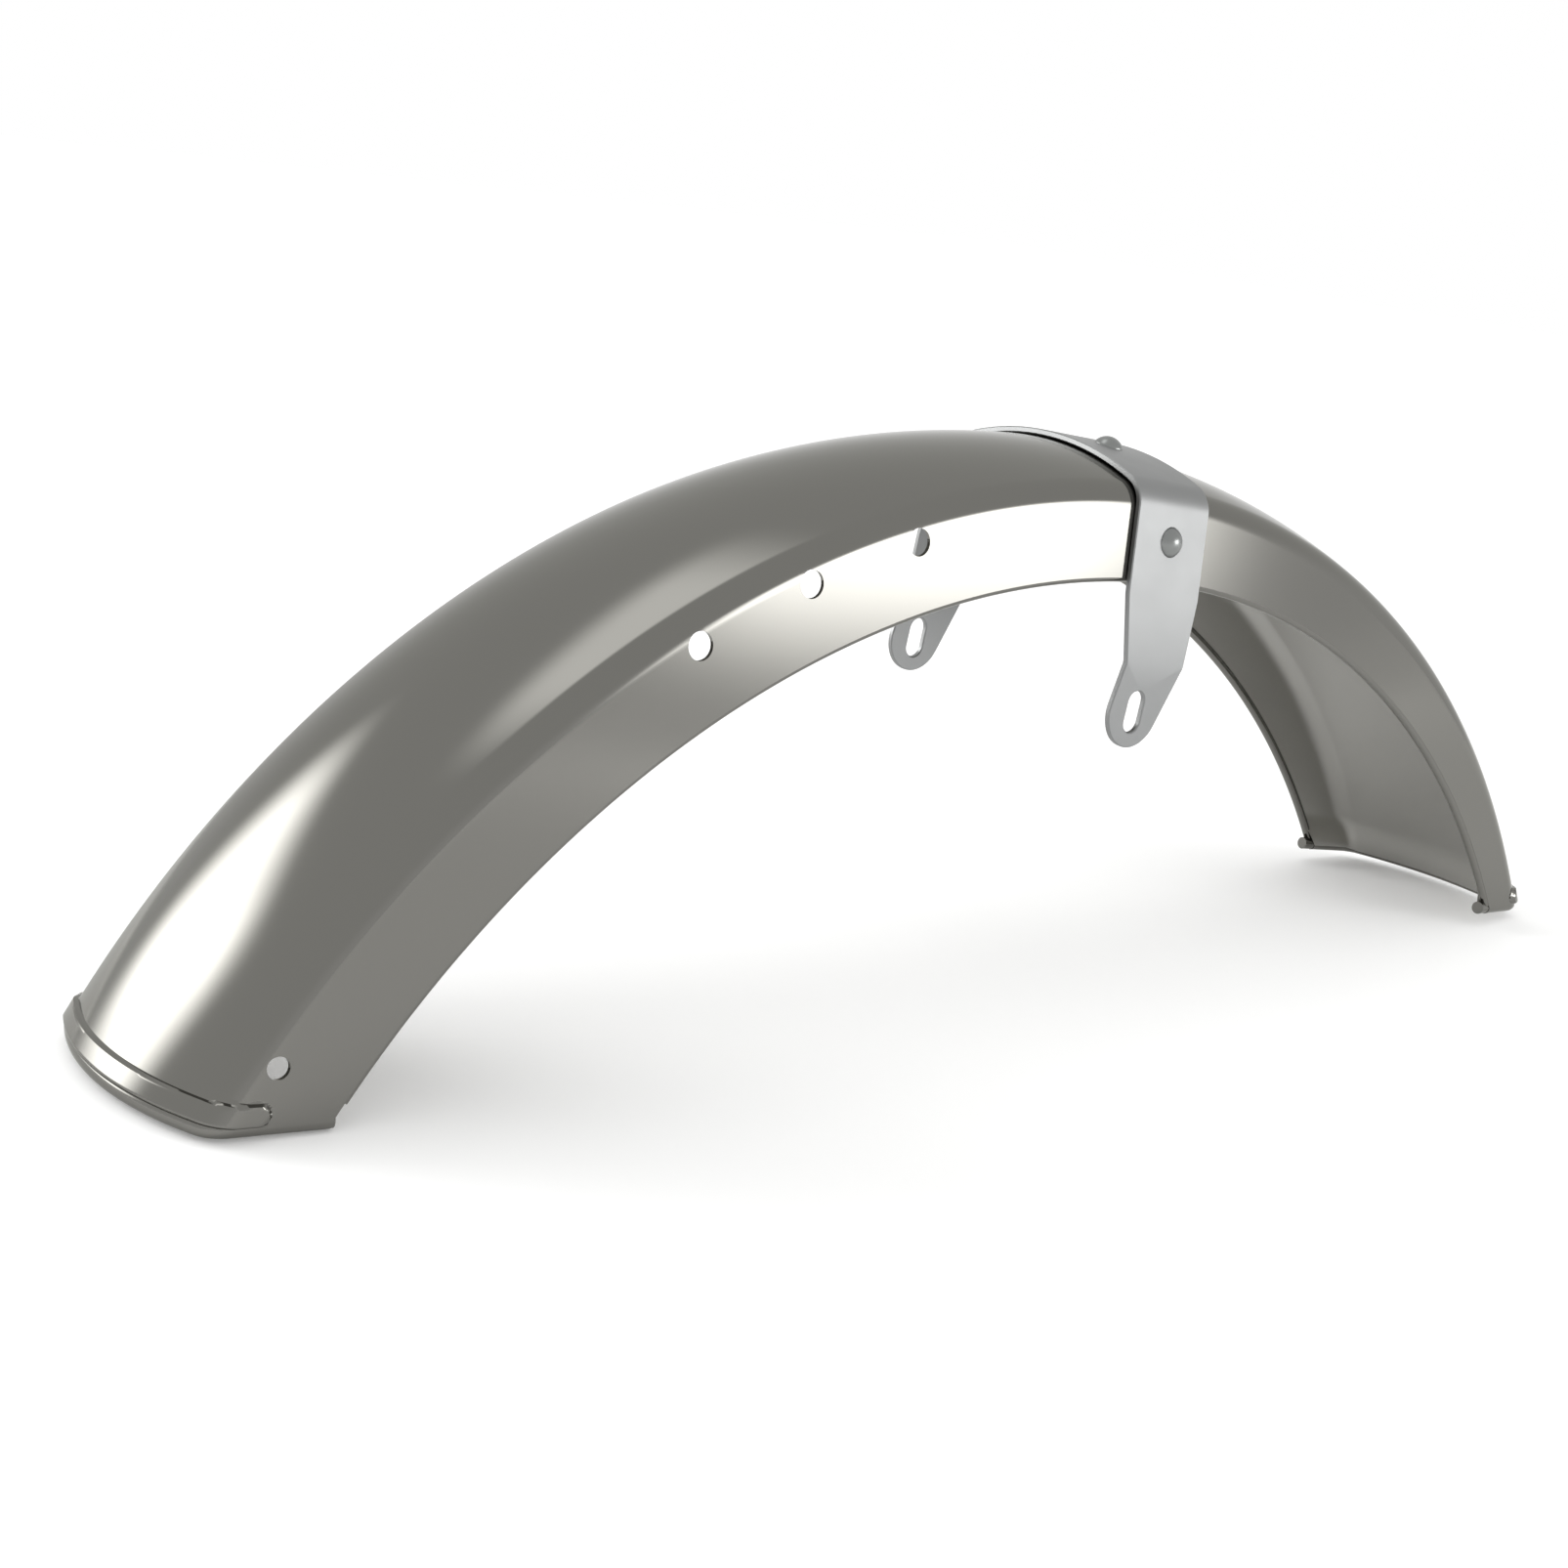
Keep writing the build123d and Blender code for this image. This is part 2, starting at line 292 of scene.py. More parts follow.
def section_mesh():
    """Outside of the section as a chain of points, with each one's facing and share of the edge's slide."""
    turns = [CROWN_TURN * i / CROWN_STEPS for i in range(CROWN_STEPS + 1)]
    bend = (WALL_TURN - CROWN_TURN) / SHOULDER_STEPS
    turns += [CROWN_TURN + bend * i for i in range(1, SHOULDER_STEPS + 1)]
    half = [(skin(turn), turn, 0.0) for turn in turns]
    top = half[-1][0][1]
    tip = top - TIP_DEPTH
    levels = [top - TIP_DEPTH * i / TIP_STEPS for i in range(1, TIP_STEPS + 1)]
    levels += [tip + (EDGE - tip) * i / WALL_STEPS for i in range(1, WALL_STEPS + 1)]
    for level in levels:
        half.append(((wall(level), level), WALL_TURN, (top - level) / (top - EDGE)))
    # One more point on each side carries the end rim past the lower edge.
    level = RIM_END + RIM_RADIUS * cos(WALL_TURN)
    half.append(((wall(level), level), WALL_TURN, 1.0))
    chain = [((-across, out), -turn, share) for (across, out), turn, share in reversed(half[1:])] + half
    mesh = bpy.data.meshes.new("blade_section")
    mesh.from_pydata([(0, across * MM, out * MM) for (across, out), turn, share in chain],
                     [(i, i + 1) for i in range(len(chain) - 1)], [])
    facing = mesh.attributes.new("facing", "FLOAT_VECTOR", "POINT")
    slide = mesh.attributes.new("slide", "FLOAT_VECTOR", "POINT")
    for i, ((across, out), turn, share) in enumerate(chain):
        facing.data[i].vector = (0, sin(turn), cos(turn))
        slide.data[i].vector = (0, -math.copysign(share * math.tan(math.radians(WALL_FLARE)), across), share)
    return mesh, len(chain)


def blade_tree(columns, material, inside_painted_light_material):
    """Bends the section round the wheel, presses beads, rolls the ends, thickens and drills the sheet."""
    sizes = {
        "Sheet": SHEET * MM,
        "Rim radius": RIM_RADIUS * MM,
        "Rim wire": (RIM_RADIUS - ROLL_STEP) * MM,
        "Lip radius": LIP_RADIUS * MM,
        "Bead radius": BEAD_RADIUS * MM,
        "Bead depth": (BEAD_RADIUS - BEAD_HEIGHT) * MM,
    }
    tree, size = new_tree("blade_pressing", sizes)
    section = size["Geometry"]
    to_floor = (0, 0, -FLOOR * MM)
    position = add(tree, "GeometryNodeInputPosition").outputs[0]
    index = add(tree, "GeometryNodeInputIndex").outputs[0]
    facing, slide = [
        add(tree, "GeometryNodeInputNamedAttribute", {"data_type": "FLOAT_VECTOR"},
            {"Name": name}).outputs[0]
        for name in ("facing", "slide")]

    # A grid gives the rows along the blade; its columns read the section's points, all but the two end ones.
    used = columns - 2
    grid = add(tree, "GeometryNodeMeshGrid", {},
               {"Size X": 1.0, "Size Y": 1.0, "Vertices X": ROWS, "Vertices Y": used})
    column = add(tree, "ShaderNodeMath", {"operation": "MODULO"}, {0: index, 1: float(used)}).outputs[0]
    column = add(tree, "ShaderNodeMath", {"operation": "ADD"}, {0: column, 1: 1.0}).outputs[0]
    point, outward, sliding = [
        add(tree, "GeometryNodeSampleIndex", {"data_type": "FLOAT_VECTOR"},
            {"Geometry": section, "Value": value, "Index": column}).outputs[0]
        for value in (position, facing, slide)]
    radius = add(tree, "ShaderNodeSeparateXYZ", {}, {0: point}).outputs["Z"]
    rise = add(tree, "ShaderNodeSeparateXYZ", {}, {0: outward}).outputs["Z"]
    share = add(tree, "ShaderNodeSeparateXYZ", {}, {0: sliding}).outputs["Z"]
    row = add(tree, "ShaderNodeSeparateXYZ", {}, {0: position}).outputs["X"]
    # Rows crowd toward the ends, where the beads are, and the last ones go round the rolls.
    along = add(tree, "ShaderNodeMapRange", {"interpolation_type": "SMOOTHSTEP"},
                {"Value": row, "From Min": ROLL_ROWS - 0.5, "From Max": 0.5 - ROLL_ROWS}).outputs[0]

    def end_angle(radius, side, tilt):
        """Angle at which a point at this radius meets the rim's middle plane."""
        lift = (cut_height(side, tilt) + RIM_RADIUS) * MM
        ratio = add(tree, "ShaderNodeMath", {"operation": "DIVIDE"}, {0: lift, 1: radius}).outputs[0]
        turn = add(tree, "ShaderNodeMath", {"operation": "ARCCOSINE"}, {0: ratio}).outputs[0]
        return add(tree, "ShaderNodeMath", {"operation": "MULTIPLY_ADD"},
                   {0: turn, 1: float(side), 2: math.radians(tilt)}).outputs[0]

    # The sheet ends where the middle of its roll lies on that plane.
    last = []
    for side, tilt in ENDS:
        deep = (math.hypot(*end_point(side, tilt, RIM_RADIUS, LIP_PATH, EDGE_MIDDLE)) - EDGE) * MM
        end_radius = add(tree, "ShaderNodeMath", {"operation": "MULTIPLY_ADD"},
                         {0: share, 1: deep, 2: radius}).outputs[0]
        roll_radius = add(tree, "ShaderNodeMath", {"operation": "MULTIPLY_ADD"},
                          {0: rise, 1: -RIM_RADIUS * MM, 2: end_radius}).outputs[0]
        last.append(end_angle(roll_radius, side, tilt))
    angle = add(tree, "ShaderNodeMix", {"data_type": "FLOAT"}, {0: along, 2: last[0], 3: last[1]}).outputs[0]

    # Wall points slide down or up to the lower edge, an arc round a middle of its own.
    middle = add(tree, "ShaderNodeVectorRotate", {"rotation_type": "Y_AXIS", "invert": True},
                 {"Vector": (EDGE_MIDDLE[0] * MM, 0, EDGE_MIDDLE[1] * MM), "Angle": angle}).outputs[0]
    middle = add(tree, "ShaderNodeSeparateXYZ", {}, {0: middle}).outputs
    beside = add(tree, "ShaderNodeMath", {"operation": "MULTIPLY"},
                 {0: middle["X"], 1: middle["X"]}).outputs[0]
    reach = add(tree, "ShaderNodeMath", {"operation": "SUBTRACT"},
                {0: (LIP_PATH * MM) ** 2, 1: beside}).outputs[0]
    reach = add(tree, "ShaderNodeMath", {"operation": "SQRT"}, {0: reach}).outputs[0]
    reach = add(tree, "ShaderNodeMath", {"operation": "ADD"}, {0: reach, 1: middle["Z"]}).outputs[0]
    reach = add(tree, "ShaderNodeMath", {"operation": "SUBTRACT"}, {0: reach, 1: EDGE * MM}).outputs[0]
    trimmed = add(tree, "ShaderNodeVectorMath", {"operation": "SCALE"},
                  {0: sliding, "Scale": reach}).outputs[0]
    trimmed = add(tree, "ShaderNodeVectorMath", {"operation": "ADD"}, {0: point, 1: trimmed}).outputs[0]
    bent, normal = [
        add(tree, "ShaderNodeVectorRotate", {"rotation_type": "Y_AXIS"},
            {"Vector": value, "Angle": angle}).outputs[0]
        for value in (trimmed, outward)]

    shaped = bent
    depth = size["Sheet"]
    for side, tilt in ENDS:
        up = (sin(tilt), 0, cos(tilt))
        inward = (-side * cos(tilt), 0, side * sin(tilt))
        line = (cut_height(side, tilt) + BEAD_SET) * MM
        stop_radius = BEAD_END if side < 0 else BEAD_END + FREE_BEAD_RISE
        stop_x, stop_z = end_point(side, tilt, BEAD_SET, stop_radius)
        stop = (stop_x * inward[0] + stop_z * inward[2]) * MM
        # A bead stands out where the sheet passes near a line across the blade, parallel to the end.
        height = add(tree, "ShaderNodeVectorMath", {"operation": "DOT_PRODUCT"},
                     {0: bent, 1: up}).outputs["Value"]
        swollen = add(tree, "ShaderNodeMapRange", {"interpolation_type": "SMOOTHSTEP"},
                      {"Value": height, "From Min": (cut_height(side, tilt) + ROLL_BLEND) * MM,
                       "From Max": (cut_height(side, tilt) + RIM_RADIUS) * MM, "To Min": SHEET * MM,
                       "To Max": 2 * RIM_RADIUS * MM}).outputs[0]
        beyond = add(tree, "ShaderNodeMath", {"operation": "COMPARE"},
                     {0: row, 1: side * 0.5, 2: 0.5}).outputs[0]
        depth = add(tree, "ShaderNodeMix", {"data_type": "FLOAT"},
                    {0: beyond, 2: depth, 3: swollen}).outputs[0]
        height = add(tree, "ShaderNodeMath", {"operation": "SUBTRACT"}, {0: height, 1: line}).outputs[0]
        lean = add(tree, "ShaderNodeVectorMath", {"operation": "DOT_PRODUCT"},
                   {0: normal, 1: up}).outputs["Value"]
        down = add(tree, "ShaderNodeVectorMath", {"operation": "SCALE"},
                   {0: normal, "Scale": lean}).outputs[0]
        down = add(tree, "ShaderNodeVectorMath", {"operation": "SUBTRACT"}, {0: down, 1: up}).outputs[0]
        slope = add(tree, "ShaderNodeVectorMath", {"operation": "LENGTH"}, {0: down}).outputs["Value"]
        down = add(tree, "ShaderNodeVectorMath", {"operation": "NORMALIZE"}, {0: down}).outputs[0]
        # The bead's middle lies under the sheet, so on the sloping crown its crest sits a little higher.
        crest = add(tree, "ShaderNodeMath", {"operation": "MULTIPLY"},
                    {0: lean, 1: size["Bead depth"]}).outputs[0]
        height = add(tree, "ShaderNodeMath", {"operation": "SUBTRACT"}, {0: height, 1: crest}).outputs[0]
        sideways = add(tree, "ShaderNodeMath", {"operation": "DIVIDE"}, {0: height, 1: slope}).outputs[0]
        past = add(tree, "ShaderNodeVectorMath", {"operation": "DOT_PRODUCT"},
                   {0: bent, 1: inward}).outputs["Value"]
        past = add(tree, "ShaderNodeMath", {"operation": "SUBTRACT"}, {0: past, 1: stop}).outputs[0]
        past = add(tree, "ShaderNodeMath", {"operation": "MAXIMUM"}, {0: past, 1: 0.0}).outputs[0]
        offset = add(tree, "ShaderNodeCombineXYZ", {}, {0: sideways, 1: past}).outputs[0]
        square = add(tree, "ShaderNodeVectorMath", {"operation": "DOT_PRODUCT"},
                     {0: offset, 1: offset}).outputs["Value"]
        whole = add(tree, "ShaderNodeMath", {"operation": "MULTIPLY"},
                    {0: size["Bead radius"], 1: size["Bead radius"]})
        rest = add(tree, "ShaderNodeMath", {"operation": "SUBTRACT"},
                   {0: whole.outputs[0], 1: square}).outputs[0]
        rest = add(tree, "ShaderNodeMath", {"operation": "MAXIMUM"}, {0: rest, 1: 0.0}).outputs[0]
        tube = add(tree, "ShaderNodeMath", {"operation": "SQRT"}, {0: rest}).outputs[0]
        bump = add(tree, "ShaderNodeMath", {"operation": "SUBTRACT"},
                   {0: tube, 1: size["Bead depth"]}).outputs[0]
        bump = add(tree, "ShaderNodeMath", {"operation": "MULTIPLY"}, {0: bump, 1: BEAD_SWELL}).outputs[0]
        bump = add(tree, "ShaderNodeMath", {"operation": "SMOOTH_MIN"},
                   {0: bump, 1: BEAD_FLAT * MM, 2: BEAD_CREST * MM}).outputs[0]
        bump = add(tree, "ShaderNodeMath", {"operation": "SMOOTH_MAX"},
                   {0: bump, 1: 0.0, 2: BEAD_FOOT * MM}).outputs[0]
        # Past the end of the sheet a roll turns down and inward round its own middle.
        curl = add(tree, "ShaderNodeMapRange", {},
                   {"Value": row, "From Min": side * (0.5 - ROLL_ROWS), "From Max": side * 0.5,
                    "To Max": math.radians(ROLL_TURN)}).outputs[0]
        across = add(tree, "ShaderNodeMath", {"operation": "SINE"}, {0: curl}).outputs[0]
        across = add(tree, "ShaderNodeMath", {"operation": "MULTIPLY"},
                     {0: across, 1: size["Rim radius"]}).outputs[0]
        inside = add(tree, "ShaderNodeMath", {"operation": "COSINE"}, {0: curl}).outputs[0]
        inside = add(tree, "ShaderNodeMath", {"operation": "SUBTRACT"}, {0: inside, 1: 1.0}).outputs[0]
        inside = add(tree, "ShaderNodeMath", {"operation": "MULTIPLY_ADD"},
                     {0: inside, 1: size["Rim radius"], 2: bump}).outputs[0]
        for way, reach in ((down, across), (normal, inside)):
            push = add(tree, "ShaderNodeVectorMath", {"operation": "SCALE"},
                       {0: way, "Scale": reach}).outputs[0]
            shaped = add(tree, "ShaderNodeVectorMath", {"operation": "ADD"}, {0: shaped, 1: push}).outputs[0]
    # The inside lies under the bent sheet, smooth behind the beads, and meets the rolls.
    depth = add(tree, "ShaderNodeMath", {"operation": "MULTIPLY"}, {0: depth, 1: -1.0}).outputs[0]
    within = add(tree, "ShaderNodeVectorMath", {"operation": "SCALE"},
                 {0: normal, "Scale": depth}).outputs[0]
    within = add(tree, "ShaderNodeVectorMath", {"operation": "ADD"}, {0: bent, 1: within}).outputs[0]
    sheet = add(tree, "GeometryNodeStoreNamedAttribute", {"data_type": "FLOAT_VECTOR", "domain": "POINT"},
                {"Geometry": grid.outputs["Mesh"], "Name": "within", "Value": within}).outputs[0]
    skin_outside = add(tree, "GeometryNodeSetPosition", {},
                       {"Geometry": sheet, "Position": shaped, "Offset": to_floor}).outputs[0]
    thick = add(tree, "GeometryNodeExtrudeMesh", {},
                {"Mesh": skin_outside, "Offset Scale": -SHEET * MM, "Individual": False})
    within = add(tree, "GeometryNodeInputNamedAttribute", {"data_type": "FLOAT_VECTOR"},
                 {"Name": "within"}).outputs[0]
    inside = add(tree, "GeometryNodeSetPosition", {},
                 {"Geometry": thick.outputs["Mesh"], "Selection": thick.outputs["Top"], "Position": within,
                  "Offset": to_floor}).outputs[0]
    inside = add(tree, "GeometryNodeFlipFaces", {}, {"Mesh": inside}).outputs[0]
    inside = add(tree, "GeometryNodeStoreNamedAttribute", {"data_type": "BOOLEAN", "domain": "FACE"},
                 {"Geometry": inside, "Selection": thick.outputs["Top"], "Name": "inner",
                  "Value": True}).outputs[0]
    both = add(tree, "GeometryNodeJoinGeometry", {}, {"Geometry": [skin_outside, inside]}).outputs[0]
    shell = add(tree, "GeometryNodeMergeByDistance", {},
                {"Geometry": both, "Distance": WELD * MM}).outputs[0]

    # Drills run straight across, through both walls.
    fork_out = CROWN_RADIUS - FORK_HOLE_DROP
    fork_step = math.degrees(FORK_HOLE_PITCH / fork_out)
    holes = [(FORK_HOLE, fork_out, FORK_HOLE_ANGLE + i * fork_step) for i in (-1, 0, 1)]
    holes.append((STAY_HOLE, CROWN_RADIUS - STAY_HOLE_DROP, STAY_HOLE_SET - END_ANGLE))
    drills = []
    for bore, out, turn in holes:
        drill = add(tree, "GeometryNodeMeshCylinder", {},
                    {"Vertices": DRILL_SIDES, "Radius": bore / 2 * MM,
                     "Depth": 3 * LOWER_HALF * MM}).outputs[0]
        place = (out * sin(turn) * MM, 0, (out * cos(turn) - FLOOR) * MM)
        drills.append(add(tree, "GeometryNodeTransform", {},
                          {"Geometry": drill, "Translation": place,
                           "Rotation": (math.pi / 2, 0, 0)}).outputs[0])
    drilled = add(tree, "GeometryNodeMeshBoolean", {"operation": "DIFFERENCE", "solver": "MANIFOLD"},
                  {"Mesh 1": shell, "Mesh 2": drills})

    # Each roll closes round a core, which comes out past the lower edges.
    rolls = [drilled.outputs[0]]
    core = add(tree, "GeometryNodeCurvePrimitiveCircle", {},
               {"Resolution": CORE_SIDES, "Radius": size["Rim wire"]}).outputs[0]
    inset = add(tree, "ShaderNodeMath", {"operation": "MULTIPLY"},
                {0: size["Rim radius"], 1: -1.0}).outputs[0]
    under = add(tree, "ShaderNodeVectorMath", {"operation": "SCALE"}, {0: facing, "Scale": inset}).outputs[0]
    under = add(tree, "ShaderNodeVectorMath", {"operation": "ADD"}, {0: position, 1: under}).outputs[0]
    under_radius = add(tree, "ShaderNodeSeparateXYZ", {}, {0: under}).outputs["Z"]
    for side, tilt in ENDS:
        turned = add(tree, "ShaderNodeVectorRotate", {"rotation_type": "Y_AXIS"},
                     {"Vector": under, "Angle": end_angle(under_radius, side, tilt)}).outputs[0]
        path = add(tree, "GeometryNodeSetPosition", {},
                   {"Geometry": section, "Position": turned, "Offset": to_floor}).outputs[0]
        path = add(tree, "GeometryNodeMeshToCurve", {}, {"Mesh": path}).outputs[0]
        trim = CORE_TRIM * MM if side > 0 else 0.0
        length = add(tree, "GeometryNodeCurveLength", {}, {"Curve": path}).outputs[0]
        length = add(tree, "ShaderNodeMath", {"operation": "SUBTRACT"}, {0: length, 1: trim}).outputs[0]
        path = add(tree, "GeometryNodeTrimCurve", {"mode": "LENGTH"},
                   {"Curve": path, 4: trim, 5: length}).outputs[0]
        rolls.append(add(tree, "GeometryNodeCurveToMesh", {},
                         {"Curve": path, "Profile Curve": core, "Fill Caps": True}).outputs[0])

    # Lips are rolls along the lower edges, stopping short of the ends.
    lip_round = add(tree, "GeometryNodeCurvePrimitiveCircle", {},
                    {"Resolution": LIP_SIDES, "Radius": size["Lip radius"]}).outputs[0]
    lip_ends = []
    for side, tilt in ENDS:
        x, z = end_point(side, tilt, RIM_RADIUS, LIP_PATH, EDGE_MIDDLE)
        gap = LIP_GAP if side < 0 else FREE_LIP_GAP
        lip_ends.append(math.atan2(x - EDGE_MIDDLE[0], z - EDGE_MIDDLE[1]) - side * gap / LIP_PATH)
    turn = add(tree, "ShaderNodeMapRange", {}, {"Value": index, "From Max": LIP_STEPS - 1.0,
                                               "To Min": lip_ends[0], "To Max": lip_ends[1]}).outputs[0]
    line = add(tree, "GeometryNodeMeshLine", {}, {"Count": LIP_STEPS}).outputs[0]
    spoke = add(tree, "ShaderNodeVectorRotate", {"rotation_type": "Y_AXIS"},
                {"Vector": (0, 0, LIP_PATH * MM), "Angle": turn}).outputs[0]
    spoke = add(tree, "ShaderNodeVectorMath", {"operation": "ADD"},
                {0: spoke, 1: (EDGE_MIDDLE[0] * MM, 0, EDGE_MIDDLE[1] * MM)}).outputs[0]
    level = add(tree, "ShaderNodeVectorMath", {"operation": "LENGTH"}, {0: spoke}).outputs["Value"]
    for side in (-1, 1):
        lean = -side * math.tan(math.radians(WALL_FLARE))
        across = add(tree, "ShaderNodeMath", {"operation": "MULTIPLY_ADD"},
                     {0: level, 1: lean, 2: side * wall(0.0, LIP_INSET) * MM}).outputs[0]
        across = add(tree, "ShaderNodeCombineXYZ", {}, {"Y": across}).outputs[0]
        place = add(tree, "ShaderNodeVectorMath", {"operation": "ADD"}, {0: spoke, 1: across}).outputs[0]
        path = add(tree, "GeometryNodeSetPosition", {},
                   {"Geometry": line, "Position": place, "Offset": to_floor}).outputs[0]
        path = add(tree, "GeometryNodeMeshToCurve", {}, {"Mesh": path}).outputs[0]
        rolls.append(add(tree, "GeometryNodeCurveToMesh", {},
                         {"Curve": path, "Profile Curve": lip_round, "Fill Caps": True}).outputs[0])

    whole = add(tree, "GeometryNodeJoinGeometry", {}, {"Geometry": rolls}).outputs[0]
    smooth = add(tree, "GeometryNodeSetShadeSmooth", {"domain": "FACE"}, {"Geometry": whole}).outputs[0]
    # The inside faces take the paler steel: its rougher mill finish is real, its lighter grey is painted
    # light lifting their shade.
    inner = add(tree, "GeometryNodeInputNamedAttribute", {"data_type": "BOOLEAN"},
                {"Name": "inner"}).outputs[0]
    finish_tree(tree, smooth, material, inner, inside_painted_light_material)
    return tree


def make_blade():
    mesh, columns = section_mesh()
    blade = grow("polished_blade", mesh, blade_tree(columns, polished_stainless(), mill_stainless_painted_lighter()))
    sharpen(blade.data, BLADE_SHARP)
    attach(blade, "root")
    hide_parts("mudguard_blade")


def sharpen(mesh, angle):
    """Marks the edges that turn by more than an angle as sharp."""
    shape = bmesh.new()
    shape.from_mesh(mesh)
    for edge in shape.edges:
        edge.smooth = edge.is_manifold and edge.calc_face_angle() < math.radians(angle)
    shape.to_mesh(mesh)
    shape.free()


# Bracket

STRIP_WELD = 0.005
STRIP_SHARP = 30.0


def make_bracket():
    """The folded strip keeps its solid's shape; its bends are joined up so that they shade as curves."""
    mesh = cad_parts["fork_bracket"].data.copy()
    mesh.name = "folded_strip"
    mesh.materials.clear()
    mesh.materials.append(bright_zinc())
    shape = bmesh.new()
    shape.from_mesh(mesh)
    bmesh.ops.remove_doubles(shape, verts=shape.verts, dist=STRIP_WELD * MM)
    for face in shape.faces:
        face.smooth = True
    shape.to_mesh(mesh)
    shape.free()
    sharpen(mesh, STRIP_SHARP)
    bracket = bpy.data.objects.new("folded_strip", mesh)
    bpy.context.scene.collection.objects.link(bracket)
    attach(bracket, "root")
    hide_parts("fork_bracket")


# Rivets

HEAD_SIDES = 48
HEAD_RINGS = 12
SHANK_SIDES = 32
RIVET_SHARP = 35.0


def rivet_seats():
    """Three points on the outside of the strip, each with the way its rivet faces."""
    out = CROWN_RADIUS - WALL_RIVET_DROP
    shift = CROWN_RIVET_SHIFT
    places = [(wall(out), out, WALL_TURN), (-wall(out), out, -WALL_TURN),
              (-CROWN_BOW * sin(shift), BOW_MIDDLE + CROWN_BOW * cos(shift), -shift)]
    spin = Matrix.Rotation(math.radians(STRIP_ANGLE), 3, "Y")
    mesh = bpy.data.meshes.new("rivet_seats")
    seats = []
    for across, out, turn in places:
        facing = Vector((0, sin(turn), cos(turn)))
        seat = spin @ (Vector((0, across, out)) + STRIP * facing) - Vector((0, 0, FLOOR))
        seats.append((seat * MM, spin @ facing))
    mesh.from_pydata([seat for seat, facing in seats], [], [])
    attribute = mesh.attributes.new("facing", "FLOAT_VECTOR", "POINT")
    for item, (seat, facing) in zip(attribute.data, seats):
        item.vector = facing
    return mesh


def rivet_tree(material):
    """One rivet, dome, shank and tail, set on every seat."""
    sizes = {"Head": RIVET_HEAD / 2 * MM, "Shank": RIVET_SHANK / 2 * MM, "Tail": RIVET_TAIL / 2 * MM}
    tree, size = new_tree("riveting", sizes)
    sphere = (RIVET_DOME ** 2 + (RIVET_HEAD / 2) ** 2) / (2 * RIVET_DOME)
    position = add(tree, "GeometryNodeInputPosition").outputs[0]
    # The dome is a disc of rings lifted onto a sphere.
    disc = add(tree, "GeometryNodeMeshCylinder", {"fill_type": "TRIANGLE_FAN"},
               {"Vertices": HEAD_SIDES, "Side Segments": 1, "Fill Segments": HEAD_RINGS,
                "Radius": size["Head"], "Depth": 2 * SINK * MM})
    flat = add(tree, "ShaderNodeVectorMath", {"operation": "MULTIPLY"},
               {0: position, 1: (1, 1, 0)}).outputs[0]
    square = add(tree, "ShaderNodeVectorMath", {"operation": "DOT_PRODUCT"},
                 {0: flat, 1: flat}).outputs["Value"]
    rest = add(tree, "ShaderNodeMath", {"operation": "SUBTRACT"},
               {0: (sphere * MM) ** 2, 1: square}).outputs[0]
    lift = add(tree, "ShaderNodeMath", {"operation": "SQRT"}, {0: rest}).outputs[0]
    lift = add(tree, "ShaderNodeMath", {"operation": "SUBTRACT"},
               {0: lift, 1: (sphere - RIVET_DOME + SINK) * MM}).outputs[0]
    lift = add(tree, "ShaderNodeCombineXYZ", {}, {"Z": lift}).outputs[0]
    dome = add(tree, "GeometryNodeSetPosition", {},
               {"Geometry": disc.outputs["Mesh"], "Selection": disc.outputs["Top"], "Position": position,
                "Offset": lift}).outputs[0]
    grip = STRIP + SHEET
    shank = add(tree, "GeometryNodeMeshCylinder", {},
                {"Vertices": SHANK_SIDES, "Radius": size["Shank"], "Depth": grip * MM}).outputs[0]
    shank = add(tree, "GeometryNodeTransform", {},
                {"Geometry": shank, "Translation": (0, 0, -grip / 2 * MM)}).outputs[0]
    tail = add(tree, "GeometryNodeMeshCylinder", {},
               {"Vertices": HEAD_SIDES, "Radius": size["Tail"], "Depth": RIVET_TAIL_HEIGHT * MM}).outputs[0]
    tail_low = grip + RIVET_TAIL_HEIGHT / 2 + RIVET_TAIL_GAP
    tail = add(tree, "GeometryNodeTransform", {},
               {"Geometry": tail, "Translation": (0, 0, -tail_low * MM)}).outputs[0]
    rivet = add(tree, "GeometryNodeJoinGeometry", {}, {"Geometry": [dome, shank, tail]}).outputs[0]
    rivet = add(tree, "GeometryNodeSetShadeSmooth", {"domain": "FACE"}, {"Geometry": rivet}).outputs[0]
    facing = add(tree, "GeometryNodeInputNamedAttribute", {"data_type": "FLOAT_VECTOR"},
                 {"Name": "facing"}).outputs[0]
    aim = add(tree, "FunctionNodeAlignRotationToVector", {"axis": "Z"}, {"Vector": facing}).outputs[0]
    points = add(tree, "GeometryNodeMeshToPoints", {}, {"Mesh": size["Geometry"]}).outputs[0]
    placed = add(tree, "GeometryNodeInstanceOnPoints", {},
                 {"Points": points, "Instance": rivet, "Rotation": aim}).outputs[0]
    finish_tree(tree, placed, material)
    return tree


def make_rivets():
    rivets = grow("dome_rivets", rivet_seats(), rivet_tree(dull_zinc()))
    sharpen(rivets.data, RIVET_SHARP)
    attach(rivets, "root")
    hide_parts("bracket_rivets")


# Studio, in metres

FLOOR_HALF = 6.0
FLOOR_DROP = 0.0005
# The floor's lift toward white grows between these distances from the middle.
LIFT_FROM = 0.6
LIFT_TO = 2.4
LIFT_NEAR = 0.12
LIFT_FAR = 0.30
# The room is white up to the first of these and a shade greyer from the second, as the upward part
# of a direction.
WHITE_UP_TO = 0.06
GREYER_FROM = 0.34
# Share of a softbox, from each edge, over which its light fades in.
LAMP_FADE = 0.34


